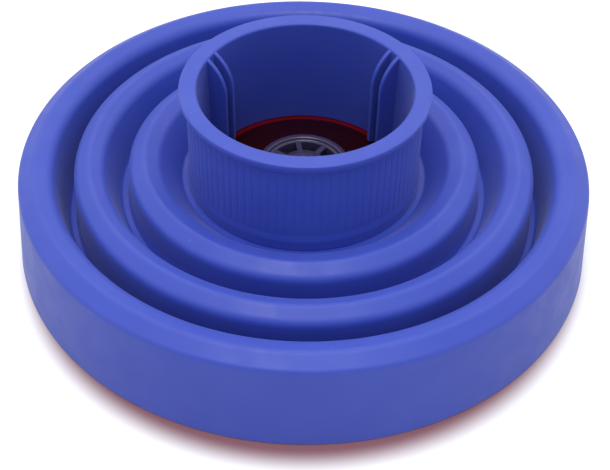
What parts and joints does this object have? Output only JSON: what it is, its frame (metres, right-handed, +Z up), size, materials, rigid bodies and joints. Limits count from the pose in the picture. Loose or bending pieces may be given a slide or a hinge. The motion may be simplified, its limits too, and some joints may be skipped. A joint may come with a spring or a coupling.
{
  "type": "folding hair dryer diffuser",
  "caption": "Folding silicone hair-dryer diffuser, folded flat and face down: nested rings on thin fold webs, a ribbed nozzle neck with grip fins, and a vented plate with fingers.",
  "frame": {"origin": "centre of the face plate's rim, on the surface that the diffuser rests on", "axes": "+Z up along the axis of the nozzle neck; a pair of grip fins lies towards -Y; +X to the right"},
  "size_m": [0.14, 0.14, 0.042],
  "materials": {
    "silicone": "satin blue silicone",
    "red_plastic": "glossy dark red moulded plastic",
    "smoke_plastic": "glossy smoke-violet moulded plastic"
  },
  "bodies": {
    "base": {"outer_skirt": "silicone", "outer_web": "silicone", "face_plate": "red_plastic", "inner_fingers": "red_plastic", "middle_fingers": "red_plastic", "outer_fingers": "red_plastic", "vent_hub": "smoke_plastic"},
    "middle": {"middle_ring": "silicone", "middle_web": "silicone"},
    "inner": {"inner_ring": "silicone", "inner_web": "silicone"},
    "neck": {"neck_collar": "silicone", "grip_fins": "silicone"}
  },
  "joints": [
    {"name": "outer_fold", "type": "slide", "parent": "base", "child": "middle", "axis": [0, 0, 1], "range_m": [0, 0.0284], "deforming": ["outer_web"]},
    {"name": "middle_fold", "type": "slide", "parent": "middle", "child": "inner", "axis": [0, 0, 1], "range_m": [0, 0.0207], "deforming": ["middle_web"]},
    {"name": "inner_fold", "type": "slide", "parent": "inner", "child": "neck", "axis": [0, 0, 1], "range_m": [0, 0.0131], "deforming": ["inner_web"]}
  ]
}
